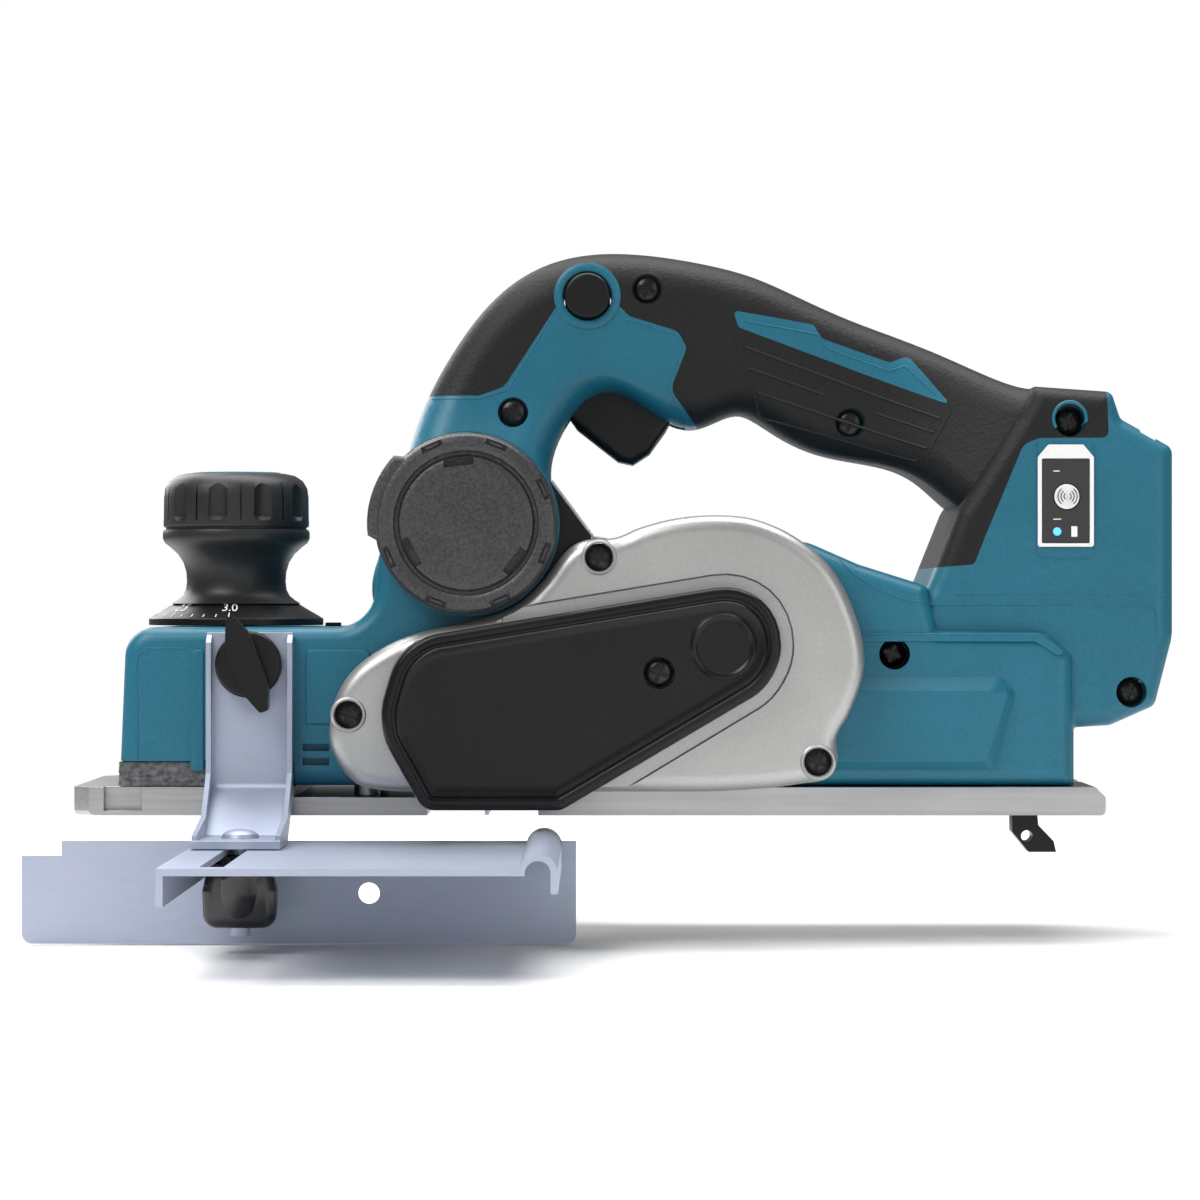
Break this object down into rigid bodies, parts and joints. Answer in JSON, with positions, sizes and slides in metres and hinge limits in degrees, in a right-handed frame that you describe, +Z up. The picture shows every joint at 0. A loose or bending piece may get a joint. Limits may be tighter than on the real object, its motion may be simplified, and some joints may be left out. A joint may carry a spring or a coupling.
{
  "type": "electric hand planer",
  "caption": "Cordless hand planer: cutter drum between two aluminium soles, depth knob, loop grip with trigger, chip outlet and sliding edge fence.",
  "frame": {"origin": "middle of the line where the cutter touches the plane of both soles", "axes": "+X to the heel, against the feed; +Y to the chip outlet side, away from the belt; +Z up from the soles"},
  "size_m": [0.349, 0.2564, 0.2115],
  "materials": {
    "teal_plastic": "fine spark-eroded grain",
    "black_rubber": "soft fine grain",
    "black_plastic": "fine grain",
    "gloss_black": "polished",
    "silver_case": "satin silver paint",
    "cast_sole": "ground and brushed",
    "zinc_sheet": "bright zinc plate",
    "black_steel": "black oxide",
    "bright_steel": "machined",
    "foam": "open-cell grey foam",
    "copper": "enamelled winding",
    "white_plastic": "satin",
    "belt_rubber": "ribbed",
    "drum_alloy": "machined",
    "board_green": "lacquered"
  },
  "bodies": {
    "chassis": {"rear_base": "cast_sole", "housing_left": "teal_plastic", "housing_right": "teal_plastic", "grip_left": "black_rubber", "grip_right": "black_rubber", "grip_inlays": "teal_plastic", "belt_case": "silver_case", "belt_cover": "black_plastic", "belt_cover_screw": "black_steel", "belt_case_screws": "black_steel", "housing_screws": "black_steel", "base_screws": "black_steel", "drum_bearings": "bright_steel", "motor_bearings": "bright_steel", "stator_core": "bright_steel", "stator_coils": "copper", "drive_belt": "belt_rubber", "depth_pointer": "black_plastic", "chip_duct": "black_plastic", "trigger_pin": "bright_steel", "trigger_spring": "bright_steel", "foot_pin": "bright_steel", "foot_spring": "bright_steel", "switch_body": "black_plastic", "switch_plunger": "white_plastic", "fence_bracket": "zinc_sheet", "fence_bolt": "zinc_sheet", "panel_frame": "white_plastic", "panel_label": "gloss_black", "battery_terminal": "black_plastic", "terminal_blades": "bright_steel", "battery_rails": "black_plastic", "motor_controller": "black_plastic", "radio_board": "board_green", "heat_sink": "drum_alloy", "foam_seal": "foam"},
    "front_sole": {"front_base": "cast_sole"},
    "depth_control": {"depth_knob": "black_rubber", "knob_inlay": "teal_plastic", "depth_dial": "black_plastic", "depth_screw": "bright_steel"},
    "cutter": {"cutter_drum": "drum_alloy", "planer_blades": "bright_steel", "blade_gibs": "drum_alloy", "gib_bolts": "black_steel", "drum_pulley": "drum_alloy"},
    "rotor": {"motor_shaft": "bright_steel", "rotor_core": "bright_steel", "cooling_fan": "black_plastic", "motor_pulley": "bright_steel"},
    "trigger": {"trigger": "black_plastic"},
    "lock_off": {"lock_button": "black_plastic"},
    "radio_button": {"panel_button": "white_plastic"},
    "kickstand": {"rear_foot": "black_plastic"},
    "cap": {"nozzle_cap": "black_plastic"},
    "outlet": {"chip_nozzle": "black_plastic"},
    "bracket_clamp": {"bracket_thumb_screw": "black_plastic"},
    "fence": {"fence_guide": "zinc_sheet"},
    "fence_clamp": {"fence_nut": "gloss_black"}
  },
  "joints": [
    {"name": "cutter_spin", "type": "hinge", "parent": "chassis", "child": "cutter", "pos_m": [0, 0, 0.022], "axis": [0, 1, 0], "continuous": true},
    {"name": "rotor_spin", "type": "hinge", "parent": "chassis", "child": "rotor", "pos_m": [0.0722, 0, 0.0514], "axis": [0, 1, 0], "continuous": true},
    {"name": "depth_turn", "type": "hinge", "parent": "chassis", "child": "depth_control", "pos_m": [-0.0783, 0, 0.08], "axis": [0, 0, 1], "range_deg": [-270, 0]},
    {"name": "front_sole_lift", "type": "slide", "parent": "chassis", "child": "front_sole", "axis": [0, 0, 1], "range_m": [0, 0.003], "deforming": ["foam_seal"]},
    {"name": "trigger_squeeze", "type": "hinge", "parent": "chassis", "child": "trigger", "pos_m": [0.03, 0, 0.136], "axis": [0, -1, 0], "range_deg": [0, 9], "stiffness_Nm_per_rad": 0.6, "springref_deg": -11.46, "deforming": ["trigger_spring"]},
    {"name": "lock_push", "type": "slide", "parent": "chassis", "child": "lock_off", "axis": [0, 1, 0], "range_m": [-0.002, 0.002], "stiffness_N_per_m": 400},
    {"name": "radio_press", "type": "slide", "parent": "chassis", "child": "radio_button", "axis": [0, 1, 0], "range_m": [0, 0.0008], "stiffness_N_per_m": 300, "springref_m": -0.0005},
    {"name": "kickstand_fold", "type": "hinge", "parent": "chassis", "child": "kickstand", "pos_m": [0.1676, 0, 0.0045], "axis": [0, -1, 0], "range_deg": [0, 75], "stiffness_Nm_per_rad": 0.02, "springref_deg": -17.19},
    {"name": "cap_twist", "type": "hinge", "parent": "chassis", "child": "cap", "pos_m": [-0.0044, -0.055, 0.0881], "axis": [0, 1, 0], "range_deg": [0, 25]},
    {"name": "outlet_twist", "type": "hinge", "parent": "chassis", "child": "outlet", "pos_m": [-0.0044, 0.06, 0.0881], "axis": [0, 1, 0], "range_deg": [0, 25]},
    {"name": "bracket_screw_turn", "type": "hinge", "parent": "chassis", "child": "bracket_clamp", "pos_m": [-0.0703, -0.046, 0.0458], "axis": [0, -1, 0], "range_deg": [0, 360]},
    {"name": "fence_slide", "type": "slide", "parent": "chassis", "child": "fence", "axis": [0, 1, 0], "range_m": [0, 0.08]},
    {"name": "fence_nut_turn", "type": "hinge", "parent": "chassis", "child": "fence_clamp", "pos_m": [-0.0703, -0.075, -0.02], "axis": [0, 0, -1], "range_deg": [0, 360]}
  ],
  "couplings": [
    {"joint": "rotor_spin", "follows": "cutter_spin", "ratio": 2.1795},
    {"joint": "depth_turn", "follows": "front_sole_lift", "rad_per_m": -1570.8}
  ]
}
